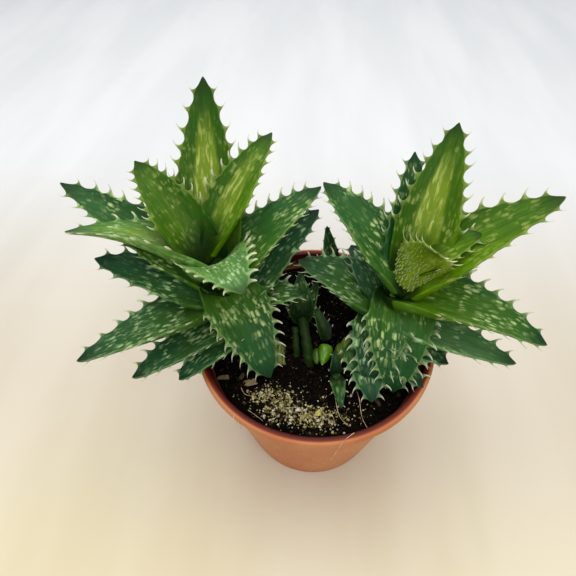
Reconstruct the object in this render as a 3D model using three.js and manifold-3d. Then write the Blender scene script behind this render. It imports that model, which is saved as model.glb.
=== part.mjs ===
import * as THREE from 'three';
import { mergeVertices } from 'three/addons/utils/BufferGeometryUtils.js';
import Module from 'manifold-3d';

// A potted aloe squarrosa: two leafy stems, young offsets, soil and a plastic nursery pot.
// Millimetres, +Z up. The origin is the centre of the pot's flat underside.

// Pot
const POT_HEIGHT = 80;
const RIM_RADIUS = 52.5;
const BASE_RADIUS = 35;
const BASE_ROUNDING = 0.7;
const WALL = 1.4;
const LIP_WIDTH = 2.2;
const LIP_DEPTH = 3.2;
const LIP_ROUNDING = 0.7;
const DRAIN_HOLES = 6;
const DRAIN_RADIUS = 4;
const DRAIN_RING = 22;
const DRAIN_SIDES = 8;
const POT_SIDES = 36;

// Soil
const SOIL_LEVEL = 72;
const SOIL_BUMP = 1.1;
const SOIL_HOLLOW = { x: 2, y: -30, depth: 1.5, spread: 17 };
const SOIL_SIDES = 28;
const SOIL_RINGS = [45, 36, 27, 18, 9];

// Clearance between pieces that touch, and how finely their cut faces are kept
const GAP = 0.3;
const SOIL_CLEARANCE = 0.45;
const SIMPLIFY_TO = 0.09;

// Stems
const STEM_RADIUS = 4.2;
const STEM_SIDES = 10;
const STEM_STEPS = 12;
const STEM_TOP = 0.93;
const STEM_CURVES = {
  left: new THREE.CubicBezierCurve3(
    new THREE.Vector3(-8, -10, 48),
    new THREE.Vector3(-10, -10, 76),
    new THREE.Vector3(-40, 4, 90),
    new THREE.Vector3(-47, 13, 112),
  ),
  right: new THREE.CubicBezierCurve3(
    new THREE.Vector3(5, -9, 48),
    new THREE.Vector3(7, -9, 76),
    new THREE.Vector3(32, 2, 90),
    new THREE.Vector3(40, 11, 112),
  ),
};

// Leaf form. The blade is a channel: cup is the angle, in radians, from its middle to either edge.
const BASE_SHARE = 0.82;
const WIDEST_AT = 0.3;
const TAPER_POWER = 0.7;
const BASE_CUP = 1;
const TIP_CUP = 0.25;
const CUP_FADE = 1.5;
const THICKNESS_SHARE = 0.48;
const THICKNESS_FADE = 0.8;
const BULGE_POWER = 0.6;
const EDGE_THICKNESS = 0.8;
const TIP_THICKNESS = 0.9;
const BLADE_STATIONS = [0, 0.15, 0.32, 0.5, 0.7, 0.88];
const SMALL_BLADE_STATIONS = [0, 0.3, 0.65];
const BLADE_ROWS = [-1, -0.55, 0, 0.55, 1];
const SMALL_BLADE_ROWS = [-1, 0, 1];

// Teeth along the leaf edge
const TOOTH_LENGTH = 3.8;
const TOOTH_HALF_BASE = 0.3;
const TOOTH_HOOK = 0.38;
const FIRST_TOOTH = 0.29;
const LAST_TOOTH = 0.91;

// Leaves from the innermost outwards. below is the distance from the stem's top end down to the leaf, heading is
// measured from +X towards +Y, rise is the slope of the straight line to the tip, and arch is how far the middle
// lies above that line.
const LEFT_LEAVES = [
  { below: 0, heading: 57, rise: 36, length: 58, half: 10.5, arch: 6, roll: 14, cup: 1.3, teeth: 7 },
  { below: 3, heading: 141, rise: 37, length: 51, half: 11.5, arch: 6, roll: -16, cup: 1.15, teeth: 7 },
  { below: 5, heading: 96, rise: 45, length: 78, half: 15, arch: 0, roll: 0, cup: 0.5, teeth: 7 },
  { below: 7, heading: -56, rise: 27, length: 38, half: 14, arch: 6, roll: 0, teeth: 7 },
  { below: 7, heading: 180, rise: 17, length: 61, half: 13.5, arch: 7, roll: 20, teeth: 7 },
  { below: 13, heading: 159, rise: 20, length: 82, half: 12, arch: 3, roll: -14, teeth: 8 },
  { below: 13, heading: 36, rise: 29, length: 59, half: 13, arch: 4, roll: 4, teeth: 7 },
  { below: 14, heading: -54, rise: -28, length: 46, half: 14, arch: 5, roll: 0, teeth: 7 },
  { below: 21, heading: -149, rise: -4, length: 67, half: 14, arch: 2, roll: 10, teeth: 7 },
  { below: 21, heading: 177, rise: 16, length: 59, half: 13, arch: 2, roll: -16, teeth: 6 },
  { below: 24, heading: 45, rise: 26, length: 55, half: 11.5, arch: 3, roll: 8, teeth: 7 },
  { below: 22, heading: 95, rise: 12, length: 50, half: 12, arch: 4, roll: 0, teeth: 5 },
  { below: 30, heading: -140, rise: -4, length: 53, half: 12.5, arch: 1, roll: 10, teeth: 7 },
  { below: 34, heading: -127, rise: -2, length: 40, half: 11.5, arch: 1, roll: 10, teeth: 6 },
  { below: 27, heading: 15, rise: 4, length: 30, half: 10, arch: 4, roll: 0, teeth: 5 },
];
const RIGHT_LEAVES = [
  { below: 8.5, heading: -66, rise: 67, length: 31, half: 11.5, arch: 5, roll: -55, teeth: 6 },
  { below: 0, heading: 6, rise: 38, length: 27, half: 9, arch: 3, roll: 10, cup: 1.1, teeth: 5 },
  { below: 4, heading: 71, rise: 50, length: 61, half: 13, arch: 3, roll: 0, teeth: 7 },
  { below: 8, heading: 13, rise: 35, length: 64, half: 13.5, arch: 5, roll: 8, teeth: 7 },
  { below: 8, heading: 138, rise: 27, length: 55, half: 12.5, arch: 4, roll: -6, teeth: 7 },
  { below: 12, heading: 87, rise: 45, length: 57, half: 10, arch: 3, roll: 0, teeth: 7 },
  { below: 13, heading: -22, rise: -2, length: 58, half: 13.5, arch: 6, roll: 0, teeth: 7 },
  { below: 15, heading: -91, rise: -35, length: 40, half: 13.5, arch: 6, roll: 0, teeth: 7 },
  { below: 22, heading: 148, rise: 3, length: 46, half: 13.5, arch: 4, roll: 0, teeth: 7 },
  { below: 22, heading: 115, rise: 9, length: 36, half: 10, arch: 4, roll: 0, teeth: 5 },
  { below: 27, heading: -21, rise: 0, length: 56, half: 12.5, arch: 2, roll: -8, teeth: 7 },
  { below: 28, heading: 50, rise: 14, length: 46, half: 11, arch: 4, roll: 0, teeth: 5 },
  { below: 25, heading: -99, rise: -29, length: 31, half: 11.5, arch: 6, roll: 0, teeth: 6 },
  { below: 34, heading: -30, rise: 4, length: 36, half: 10, arch: 3, roll: 0, teeth: 6 },
  { below: 40, heading: -80, rise: -8, length: 30, half: 9, arch: 3, roll: 0, teeth: 6 },
  { below: 38, heading: -44, rise: -4, length: 34, half: 8.5, arch: 3, roll: 0, teeth: 5 },
];

// Offsets: each is a short shoot of small leaves. Its stalk bends from its root to its foot
const OFFSETS = {
  middle_offset: {
    root: [-1.5, -13], foot: [-6, 6], top: 80, radius: 2.6,
    leaves: [
      { up: 0, heading: 98, rise: 60, length: 23, half: 5.5, arch: 1, roll: 0, teeth: 4 },
      { up: -1, heading: 136, rise: 45, length: 20, half: 5, arch: 1, roll: 0, teeth: 4 },
      { up: -1, heading: 60, rise: 50, length: 20, half: 4.5, arch: 1, roll: 0, teeth: 3 },
    ],
  },
  back_offset: {
    root: [7, 38], foot: [7, 38], top: 80, radius: 2.4,
    leaves: [
      { up: 0, heading: 111, rise: 66, length: 24, half: 4.5, arch: 1, roll: 0, teeth: 4 },
      { up: -1, heading: 180, rise: 40, length: 17, half: 4, arch: 1, roll: 0, teeth: 3 },
      { up: -1, heading: 10, rise: 35, length: 17, half: 4, arch: 1, roll: 0, teeth: 3 },
      { up: -2, heading: -70, rise: 25, length: 14, half: 3.5, arch: 1, roll: 0, teeth: 3 },
    ],
  },
  front_offset: {
    root: [10, -19], foot: [10, -19], top: 75, radius: 2.2,
    leaves: [
      { up: 0, heading: -82, rise: 4, length: 16, half: 3.2, arch: 1.5, roll: 0, teeth: 3 },
      { up: 0, heading: 100, rise: 50, length: 11, half: 2.6, arch: 1, roll: 0, teeth: 2 },
    ],
  },
};
const OFFSET_TOOTH = 1.8;
const STALK_DEPTH = 12;
const STALK_STEPS = 4;

// Round young bud and the stub of a fallen leaf, both on the soil against a stem
const PUP = { centre: [4.2, -10], radius: 4.2, height: 1.15 };
const OLD_BASE = { centre: [-15, -11], radius: 4.8, height: 1.7 };
const LUMP_SHOWS = 0.55;

const LEAF_GREEN = 0x4f7f35;
const YOUNG_GREEN = 0x7f9b3a;
const OLD_GREEN = 0x2f5f45;

const wasm = await Module();
wasm.setup();

function material(color, roughness) {
  return new THREE.MeshStandardMaterial({ color, roughness, metalness: 0 });
}

function solidFrom(geometry) {
  const plain = geometry.clone();
  for (const name of ['normal', 'uv']) {
    plain.deleteAttribute(name);
  }
  const merged = mergeVertices(plain, 1e-4);
  return new wasm.Manifold(
    new wasm.Mesh({
      numProp: 3,
      vertProperties: new Float32Array(merged.attributes.position.array),
      triVerts: new Uint32Array(merged.index.array),
    }),
  );
}

function geometryFrom(solid) {
  const mesh = solid.getMesh();
  const geometry = new THREE.BufferGeometry();
  geometry.setAttribute('position', new THREE.BufferAttribute(new Float32Array(mesh.vertProperties), 3));
  geometry.setIndex(new THREE.BufferAttribute(new Uint32Array(mesh.triVerts), 1));
  geometry.computeVertexNormals();
  return geometry;
}

function largestPiece(solid) {
  const pieces = solid.decompose();
  pieces.sort((a, b) => b.volume() - a.volume());
  return pieces[0];
}

function boxesTouch(a, b) {
  const one = a.boundingBox();
  const two = b.boundingBox();
  return [0, 1, 2].every((k) => one.min[k] < two.max[k] && two.min[k] < one.max[k]);
}

function widthShare(t) {
  if (t < WIDEST_AT) {
    const s = t / WIDEST_AT;
    return BASE_SHARE + (1 - BASE_SHARE) * s * (2 - s);
  }
  return Math.pow(Math.max(0, 1 - t) / (1 - WIDEST_AT), TAPER_POWER);
}

// A leaf's own frame: along runs from foot to tip, up is at right angles to it and side points right.
function leafFrame(leaf, foot) {
  const heading = THREE.MathUtils.degToRad(leaf.heading);
  const rise = THREE.MathUtils.degToRad(leaf.rise);
  const along = new THREE.Vector3(
    Math.cos(rise) * Math.cos(heading),
    Math.cos(rise) * Math.sin(heading),
    Math.sin(rise),
  );
  const side = new THREE.Vector3(Math.sin(heading), -Math.cos(heading), 0);
  side.applyAxisAngle(along, THREE.MathUtils.degToRad(leaf.roll));
  const up = new THREE.Vector3().crossVectors(side, along);
  return { foot, along, side, up };
}

// The closed solid of one leaf. grow makes it larger all round, to cut room for it in its neighbours.
function leafGeometry(leaf, foot, grow = 0) {
  const { along, side, up } = leafFrame(leaf, foot);
  const points = [];
  const faces = [];
  const thick = leaf.half * THICKNESS_SHARE;
  const stationsAlong = leaf.small ? SMALL_BLADE_STATIONS : BLADE_STATIONS;
  const bladeRows = leaf.small ? SMALL_BLADE_ROWS : BLADE_ROWS;

  function section(t) {
    const centre = foot.clone()
      .addScaledVector(along, leaf.length * t - (t === 0 ? grow : 0))
      .addScaledVector(up, leaf.arch * 4 * t * (1 - t));
    const forward = along.clone().multiplyScalar(leaf.length)
      .addScaledVector(up, leaf.arch * 4 * (1 - 2 * t))
      .normalize();
    const raised = new THREE.Vector3().crossVectors(side, forward);
    const half = leaf.half * widthShare(t) + grow;
    const cup = TIP_CUP + ((leaf.cup ?? BASE_CUP) - TIP_CUP) * Math.pow(1 - t, CUP_FADE);
    const depth = TIP_THICKNESS + (thick - TIP_THICKNESS) * Math.pow(1 - t, THICKNESS_FADE);
    return { centre, forward, raised, half, cup, depth };
  }

  function surface(t, share, face) {
    const { centre, raised, half, cup, depth } = section(t);
    const turn = cup * share;
    const bulge = Math.pow(Math.max(0, 1 - share * share), BULGE_POWER);
    const inward = face === 'upper' ? grow : -(EDGE_THICKNESS + (depth - EDGE_THICKNESS) * bulge) - grow;
    const across = half * Math.sin(turn) / cup - inward * Math.sin(turn);
    const height = half * (1 - Math.cos(turn)) / cup + inward * Math.cos(turn);
    return centre.addScaledVector(side, across).addScaledVector(raised, height);
  }

  function add(point) {
    points.push(point.x, point.y, point.z);
    return points.length / 3 - 1;
  }

  const pitch = (LAST_TOOTH - FIRST_TOOTH) / (leaf.teeth - 1);
  const toothLength = leaf.tooth ?? TOOTH_LENGTH;
  const halfBase = (TOOTH_HALF_BASE * toothLength + grow) / leaf.length;
  const teeth = Array.from({ length: leaf.teeth }, (_, k) => FIRST_TOOTH + pitch * k);
  const edgeStations = [0, 0.1];
  for (const t of teeth) {
    edgeStations.push(t - halfBase, t + halfBase);
  }

  const tip = add(section(1).centre.addScaledVector(along, grow));
  const rows = {};
  for (const face of ['upper', 'lower']) {
    rows[face] = bladeRows.map((share) => {
      const stations = Math.abs(share) === 1 ? edgeStations : stationsAlong;
      return stations.map((t) => ({ t, index: add(surface(t, share, face)) }));
    });
  }

  function triangle(a, b, c, flip) {
    faces.push(...(flip ? [a, c, b] : [a, b, c]));
  }

  // Zips two rows of points together, always by the row whose next point comes first
  function zip(left, right, flip) {
    let i = 0;
    let j = 0;
    while (i < left.length - 1 || j < right.length - 1) {
      const nextLeft = i < left.length - 1 ? left[i + 1].t : Infinity;
      const nextRight = j < right.length - 1 ? right[j + 1].t : Infinity;
      if (nextLeft <= nextRight) {
        triangle(left[i].index, right[j].index, left[i + 1].index, flip);
        i += 1;
      } else {
        triangle(left[i].index, right[j].index, right[j + 1].index, flip);
        j += 1;
      }
    }
    triangle(left[i].index, right[j].index, tip, flip);
  }

  for (const face of ['upper', 'lower']) {
    for (let k = 0; k < bladeRows.length - 1; k += 1) {
      zip(rows[face][k], rows[face][k + 1], face === 'lower');
    }
  }

  // The edges, with a hooked pyramid on every tooth's stretch
  for (const [row, sign] of [[0, -1], [bladeRows.length - 1, 1]]) {
    const top = rows.upper[row];
    const bottom = rows.lower[row];
    for (let k = 0; k < top.length - 1; k += 1) {
      const corners = [top[k].index, top[k + 1].index, bottom[k + 1].index, bottom[k].index];
      const tooth = k >= 2 && k % 2 === 0;
      if (tooth) {
        const t = teeth[(k - 2) / 2];
        const { forward, raised, cup } = section(t);
        const size = Math.min(1, 0.45 + 1.6 * widthShare(t));
        const outward = side.clone().multiplyScalar(sign * Math.cos(cup)).addScaledVector(raised, Math.sin(cup));
        const middle = surface(t, sign, 'upper').add(surface(t, sign, 'lower')).multiplyScalar(0.5);
        const point = add(
          middle
            .addScaledVector(outward, toothLength * size + 3 * grow)
            .addScaledVector(forward, TOOTH_HOOK * toothLength * size),
        );
        for (let c = 0; c < 4; c += 1) {
          triangle(corners[c], corners[(c + 1) % 4], point, sign > 0);
        }
      } else {
        triangle(corners[0], corners[1], corners[2], sign > 0);
        triangle(corners[0], corners[2], corners[3], sign > 0);
      }
    }
    const last = top.length - 1;
    triangle(top[last].index, tip, bottom[last].index, sign > 0);
  }

  // The flat foot of the leaf
  for (let k = 0; k < bladeRows.length - 1; k += 1) {
    const a = rows.upper[k][0].index;
    const b = rows.upper[k + 1][0].index;
    const c = rows.lower[k + 1][0].index;
    const d = rows.lower[k][0].index;
    triangle(a, b, c, true);
    triangle(a, c, d, true);
  }

  const geometry = new THREE.BufferGeometry();
  geometry.setAttribute('position', new THREE.Float32BufferAttribute(points, 3));
  geometry.setIndex(faces);
  return geometry;
}

function leafSolid(leaf, foot, grow = 0) {
  const solid = solidFrom(leafGeometry(leaf, foot, grow));
  if (solid.volume() <= 0) {
    throw new Error('a leaf is inside out');
  }
  return solid;
}

// Outer radius of the pot's leaning wall at a height
function wallAt(z) {
  return BASE_RADIUS + (RIM_RADIUS - LIP_WIDTH - BASE_RADIUS) * (z / POT_HEIGHT);
}

function potSolid() {
  const lipFoot = POT_HEIGHT - LIP_DEPTH;
  const profile = [
    [0, 0],
    [BASE_RADIUS - BASE_ROUNDING, 0],
    [BASE_RADIUS, BASE_ROUNDING],
    [wallAt(lipFoot), lipFoot],
    [RIM_RADIUS - LIP_ROUNDING / 2, lipFoot + LIP_ROUNDING / 2],
    [RIM_RADIUS, POT_HEIGHT - LIP_ROUNDING],
    [RIM_RADIUS - LIP_ROUNDING, POT_HEIGHT],
    [wallAt(POT_HEIGHT) - WALL + LIP_ROUNDING, POT_HEIGHT],
    [wallAt(POT_HEIGHT) - WALL, POT_HEIGHT - LIP_ROUNDING],
    [wallAt(WALL) - WALL, WALL],
    [0, WALL],
  ].map(([r, z]) => new THREE.Vector2(r, z));
  const lathe = new THREE.LatheGeometry(profile, POT_SIDES);
  lathe.rotateX(Math.PI / 2);
  let pot = solidFrom(lathe);
  for (let k = 0; k < DRAIN_HOLES; k += 1) {
    const angle = (k * 2 * Math.PI) / DRAIN_HOLES;
    const drill = new THREE.CylinderGeometry(DRAIN_RADIUS, DRAIN_RADIUS, 6, DRAIN_SIDES);
    drill.rotateX(Math.PI / 2);
    drill.translate(DRAIN_RING * Math.cos(angle), DRAIN_RING * Math.sin(angle), 0);
    pot = pot.subtract(solidFrom(drill));
  }
  return pot;
}

// Height of the soil's uneven top
function soilHeight(x, y) {
  const wave = Math.sin(x * 0.23 + 1) * Math.cos(y * 0.19 - 0.6) + 0.6 * Math.sin(x * 0.51 - y * 0.43);
  const reach = Math.hypot(x - SOIL_HOLLOW.x, y - SOIL_HOLLOW.y) / SOIL_HOLLOW.spread;
  return SOIL_LEVEL + SOIL_BUMP * wave - SOIL_HOLLOW.depth * Math.exp(-(reach ** 2));
}

function soilSolid() {
  const insideAt = (z) => wallAt(z) - WALL - SOIL_CLEARANCE;
  const profile = [
    [0, WALL + GAP],
    [insideAt(WALL + GAP), WALL + GAP],
    [insideAt(SOIL_LEVEL), SOIL_LEVEL],
    ...SOIL_RINGS.map((r) => [r, SOIL_LEVEL]),
    [0, SOIL_LEVEL],
  ].map(([r, z]) => new THREE.Vector2(r, z));
  const lathe = new THREE.LatheGeometry(profile, SOIL_SIDES);
  lathe.rotateX(Math.PI / 2);
  const place = lathe.attributes.position;
  for (let k = 0; k < place.count; k += 1) {
    const reach = Math.hypot(place.getX(k), place.getY(k));
    if (place.getZ(k) > SOIL_LEVEL - 1 && reach < SOIL_RINGS[0] + 1) {
      place.setZ(k, soilHeight(place.getX(k), place.getY(k)));
    }
  }
  return solidFrom(lathe);
}

class LowerPart extends THREE.Curve {
  constructor(curve, end) {
    super();
    this.curve = curve;
    this.end = end;
  }

  getPoint(t, target) {
    return this.curve.getPoint(t * this.end, target);
  }
}

function tube(curve, radius, sides, steps) {
  const ring = new THREE.Shape();
  for (let k = 0; k < sides; k += 1) {
    const angle = (k * 2 * Math.PI) / sides;
    const x = radius * Math.cos(angle);
    const y = radius * Math.sin(angle);
    if (k === 0) {
      ring.moveTo(x, y);
    } else {
      ring.lineTo(x, y);
    }
  }
  ring.closePath();
  return solidFrom(new THREE.ExtrudeGeometry(ring, { steps, extrudePath: curve, bevelEnabled: false }));
}

function stemSolid(side, grow = 0) {
  return tube(new LowerPart(STEM_CURVES[side], STEM_TOP), STEM_RADIUS + grow, STEM_SIDES, STEM_STEPS);
}

// A small rounded lump that sits a little way into the soil
function lumpSolid({ centre, radius, height }, grow = 0) {
  const ball = new THREE.SphereGeometry(radius + grow, 12, 8);
  ball.scale(1, 1, height);
  ball.translate(...centre, SOIL_LEVEL + radius * height * LUMP_SHOWS);
  return solidFrom(ball);
}

const plant = new THREE.Group();

function place(name, solid, finish) {
  const mesh = new THREE.Mesh(geometryFrom(solid), finish);
  mesh.name = name;
  plant.add(mesh);
}

const stemTools = [];
const leafTools = { left: [], right: [] };
const rosettes = { left: LEFT_LEAVES, right: RIGHT_LEAVES };
for (const [side, leaves] of Object.entries(rosettes)) {
  const curve = STEM_CURVES[side];
  const reach = curve.getLength();
  const room = stemSolid(side, GAP);
  stemTools.push(room);
  place(`${side}_stem`, stemSolid(side), material(0x6d7a3c, 0.7));
  leaves.forEach((leaf, k) => {
    const foot = curve.getPointAt(1 - leaf.below / reach);
    let solid = leafSolid(leaf, foot).subtract(room);
    for (const other of leafTools[side]) {
      if (boxesTouch(solid, other)) {
        solid = solid.subtract(other);
      }
    }
    leafTools[side].push(leafSolid(leaf, foot, GAP));
    solid = largestPiece(solid.simplify(SIMPLIFY_TO));
    const name = `${side}_leaf_${String(k + 1).padStart(2, '0')}`;
    const shade = k < 4 ? YOUNG_GREEN : k < 8 ? LEAF_GREEN : OLD_GREEN;
    place(name, solid, material(shade, 0.45));
  });
}

for (const [name, offset] of Object.entries(OFFSETS)) {
  const root = new THREE.Vector3(...offset.root, SOIL_LEVEL - STALK_DEPTH);
  const bend = new THREE.Vector3(...offset.root, offset.top - 1);
  const top = new THREE.Vector3(...offset.foot, offset.top);
  const stalk = new THREE.QuadraticBezierCurve3(root, bend, top);
  let shoot = tube(stalk, offset.radius, 8, STALK_STEPS);
  stemTools.push(tube(stalk, offset.radius + GAP, 8, STALK_STEPS));
  for (const leaf of offset.leaves) {
    const start = top.clone().setZ(offset.top + leaf.up - 1);
    shoot = shoot.add(leafSolid({ ...leaf, small: true, tooth: OFFSET_TOOTH }, start));
  }
  for (const other of [...leafTools.left, ...leafTools.right]) {
    if (boxesTouch(shoot, other)) {
      shoot = shoot.subtract(other);
    }
  }
  place(name, largestPiece(shoot.simplify(SIMPLIFY_TO)), material(OLD_GREEN, 0.5));
}

const soilTools = [];
for (const [name, lump, finish] of [
  ['pup', PUP, material(0x8fb43c, 0.35)],
  ['old_leaf_base', OLD_BASE, material(0x7d7a35, 0.6)],
]) {
  let solid = lumpSolid(lump);
  for (const tool of stemTools) {
    solid = solid.subtract(tool);
  }
  place(name, largestPiece(solid.simplify(SIMPLIFY_TO)), finish);
  soilTools.push(lumpSolid(lump, GAP));
}

let soil = soilSolid();
for (const tool of [...stemTools, ...soilTools]) {
  soil = soil.subtract(tool);
}
place('soil', soil, material(0x2a211b, 0.95));
place('pot', potSolid(), material(0xb0623f, 0.45));

export default plant;
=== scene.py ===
# %% [markdown]
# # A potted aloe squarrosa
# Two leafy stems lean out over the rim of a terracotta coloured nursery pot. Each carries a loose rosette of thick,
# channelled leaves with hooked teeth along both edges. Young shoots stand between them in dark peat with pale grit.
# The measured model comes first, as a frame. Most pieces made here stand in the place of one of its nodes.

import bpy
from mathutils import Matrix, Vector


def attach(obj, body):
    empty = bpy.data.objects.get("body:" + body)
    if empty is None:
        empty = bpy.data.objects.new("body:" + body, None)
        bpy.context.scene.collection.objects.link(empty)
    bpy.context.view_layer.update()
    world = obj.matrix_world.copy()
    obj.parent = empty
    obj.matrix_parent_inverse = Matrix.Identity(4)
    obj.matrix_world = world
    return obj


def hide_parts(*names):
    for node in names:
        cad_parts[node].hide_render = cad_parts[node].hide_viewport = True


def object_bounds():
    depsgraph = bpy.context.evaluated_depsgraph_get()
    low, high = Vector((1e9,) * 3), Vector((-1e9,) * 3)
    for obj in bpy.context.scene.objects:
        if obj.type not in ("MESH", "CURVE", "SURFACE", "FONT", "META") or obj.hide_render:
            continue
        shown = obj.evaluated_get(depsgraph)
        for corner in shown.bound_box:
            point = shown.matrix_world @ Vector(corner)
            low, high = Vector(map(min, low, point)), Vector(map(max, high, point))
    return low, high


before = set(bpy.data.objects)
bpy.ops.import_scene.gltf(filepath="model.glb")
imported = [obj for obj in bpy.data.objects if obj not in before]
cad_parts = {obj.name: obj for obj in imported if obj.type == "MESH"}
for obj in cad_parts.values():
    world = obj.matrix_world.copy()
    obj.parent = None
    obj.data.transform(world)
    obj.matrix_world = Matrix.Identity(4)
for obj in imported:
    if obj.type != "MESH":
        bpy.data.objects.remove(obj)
cad_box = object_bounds()
print("frame:", len(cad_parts), "nodes, box", [[round(v, 4) for v in corner] for corner in cad_box])

# %% [markdown]
# Shapes are given in millimetres, and MM turns them into Blender's metres. Colours are written as they are read off a
# screen, and a short function turns them into the light that a shader needs.

# %% Tools of the trade
import math
import random
from collections import namedtuple

import bmesh
import bpy
from mathutils import Matrix, Quaternion, Vector, noise

MM = 0.001
scene = bpy.context.scene


def linear(code):
    """A colour as it is read off a screen, such as "8aa04a", as the light that a shader works with."""
    parts = [int(code[k:k + 2], 16) / 255 for k in (0, 2, 4)]
    return tuple(v / 12.92 if v <= 0.04045 else ((v + 0.055) / 1.055) ** 2.4 for v in parts) + (1.0,)


print("mid grey on a screen is", round(linear("808080")[0], 2), "of full light")


# %% [markdown]
# The viewer stands in front of the pot and looks down at a bit over 50 degrees. The camera was found by matching the
# ellipses of the pot's rim and base, so its place and its three directions are given as plain numbers.

# %% Place the camera
CAMERA_AT = Vector((0, -0.116955, 0.240386))
CAMERA_RIGHT = Vector((0.996774, 0.078326, -0.017486))
CAMERA_UP = Vector((-0.047134, 0.747694, 0.662368))
CAMERA_BACK = Vector((0.064955, -0.659407, 0.748974))

camera_data = bpy.data.cameras.new("viewer")
camera_data.sensor_width = 36
camera_data.lens = 27.5625
camera_data.clip_start = 0.01
camera = bpy.data.objects.new("viewer", camera_data)
scene.collection.objects.link(camera)
turned = Matrix((CAMERA_RIGHT, CAMERA_UP, CAMERA_BACK)).transposed().to_4x4()
camera.matrix_world = Matrix.Translation(CAMERA_AT) @ turned
scene.camera = camera
scene.view_settings.view_transform = "Standard"
print("camera at", [round(v, 3) for v in camera.location])

# %% [markdown]
# A finished piece is a mesh at the origin with its finish. It rides on the one body of the part and takes the place of
# the measured nodes that it is given, which are hidden. One helper does it for all.

# %% Turn a bmesh into a finished piece
def as_object(name, bm):
    mesh = bpy.data.meshes.new(name)
    bm.to_mesh(mesh)
    bm.free()
    made = bpy.data.objects.new(name, mesh)
    scene.collection.objects.link(made)
    return made


def finished(name, bm, coat, nodes=(), smooth=True, rounds=0):
    piece = as_object(name, bm)
    mesh = piece.data
    mesh.materials.append(coat)
    mesh.polygons.foreach_set("use_smooth", [smooth] * len(mesh.polygons))
    if rounds:
        rounding = piece.modifiers.new("rounding", "SUBSURF")
        rounding.levels = rounds
        rounding.render_levels = rounds
    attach(piece, "root")
    if nodes:
        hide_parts(*nodes)
    print(name, len(mesh.polygons), "faces before rounding" if rounds else "faces")


# %% [markdown]
# Every finish is a tree of nodes round one Principled shader. It can be drawn in the shader editor. Here a helper adds
# a node and fills its inputs, named by label or by i and a number, so that each finish reads like a recipe.

# %% Recipes for finishes
class Recipe:
    def __init__(self, name):
        self.coat = bpy.data.materials.new(name)
        self.coat.use_nodes = True
        self.tree = self.coat.node_tree
        self.shader = self.tree.nodes["Principled BSDF"]

    def feed(self, made, sockets):
        for key, value in sockets.items():
            socket = made.inputs[int(key[1:]) if key[1:].isdigit() else key.replace("_", " ")]
            if isinstance(value, bpy.types.NodeSocket):
                self.tree.links.new(value, socket)
            else:
                socket.default_value = linear(value) if isinstance(value, str) else value

    def add(self, kind, settings=None, **sockets):
        made = self.tree.nodes.new(kind)
        for key, value in (settings or {}).items():
            setattr(made, key, value)
        self.feed(made, sockets)
        return made

    def set(self, **sockets):
        self.feed(self.shader, sockets)

    def layer(self, name):
        """What the mesh carries under this name."""
        return self.add("ShaderNodeAttribute", {"attribute_type": "GEOMETRY", "attribute_name": name}).outputs

    def where(self):
        """The place of a point of the surface, in metres."""
        return self.add("ShaderNodeTexCoord").outputs["Object"]

    def axes(self, vector):
        return self.add("ShaderNodeSeparateXYZ", Vector=vector).outputs

    def channels(self, colour):
        return self.add("ShaderNodeSeparateColor", Color=colour).outputs

    def maths(self, operation, a, b):
        return self.add("ShaderNodeMath", {"operation": operation}, i0=a, i1=b).outputs[0]

    def times(self, a, b):
        return self.maths("MULTIPLY", a, b)

    def plus(self, a, b):
        return self.maths("ADD", a, b)

    def mix(self, amount, a, b):
        return self.add("ShaderNodeMix", {"data_type": "RGBA"}, i0=amount, i6=a, i7=b).outputs[2]

    def ramp(self, value, low, high, start=0.0, end=1.0):
        """A soft step from start, where value is low, to end, where it is high."""
        made = self.add("ShaderNodeMapRange", {"interpolation_type": "SMOOTHSTEP"}, i0=value, i1=low, i2=high,
                        i3=start, i4=end)
        return made.outputs[0]

    def scaled(self, vector, scale, shift=(0, 0, 0)):
        return self.add("ShaderNodeMapping", Vector=vector, Scale=scale, Location=shift).outputs[0]

    def noise(self, vector, scale, detail, roughness=0.5, shift=(0, 0, 0)):
        """Noise with a scale for each axis."""
        made = self.add("ShaderNodeTexNoise", Vector=self.scaled(vector, scale, shift), Scale=1.0, Detail=detail,
                        Roughness=roughness)
        return made.outputs["Fac"]

    def cells(self, vector):
        """Scattered cells: the distance to the middle of the nearest one, and its colour."""
        return self.add("ShaderNodeTexVoronoi", Vector=vector, Scale=1.0, Randomness=1.0).outputs

    def bumps(self, height, strength, depth):
        """Fine relief for the shader, depth in metres."""
        self.set(Normal=self.add("ShaderNodeBump", Strength=strength, Distance=depth, Height=height).outputs[0])


# %% [markdown]
# ## Leaves
# A leaf is a thick tapering channel: its upper face is hollow, its lower face is rounded, and its cut edge is thin.
# It could be sculpted, or bent from a flat sheet. Here a formula gives its cross-section at any share of its length,
# so all leaves are alike in form and each has its own size and turn.

# %% The form of a leaf
Leaf = namedtuple("Leaf", "below heading rise length half arch roll cup teeth age first neck pale spines",
                  defaults=(0.29, 0.0, 0.0, 0.0))

BASE_SHARE = 0.82
WIDEST_AT = 0.3
TAPER_POWER = 0.7
TIP_CUP = 0.25
THICKNESS_SHARE = 0.48
EDGE_THICKNESS = 0.8
TIP_THICKNESS = 0.9
LAST_TOOTH = 0.91
TOOTH_LENGTH = 4.8
TOOTH_FLARE = 1.35
WINDOW = Vector((-0.25, 0.75, 0.6)).normalized()

HEEL = 0.1
NECK_PINCH = 0.72
SHARES = (-1, -0.86, -0.62, -0.32, 0, 0.32, 0.62, 0.86, 1)
RING = [(share, True) for share in SHARES] + [(share, False) for share in reversed(SHARES)]


def heel(t):
    """A leaf goes on a little past the stem's axis and closes in a round heel."""
    return max(0.15, 1 - (t / HEEL) ** 2) ** 0.5 if t < 0 else 1


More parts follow.
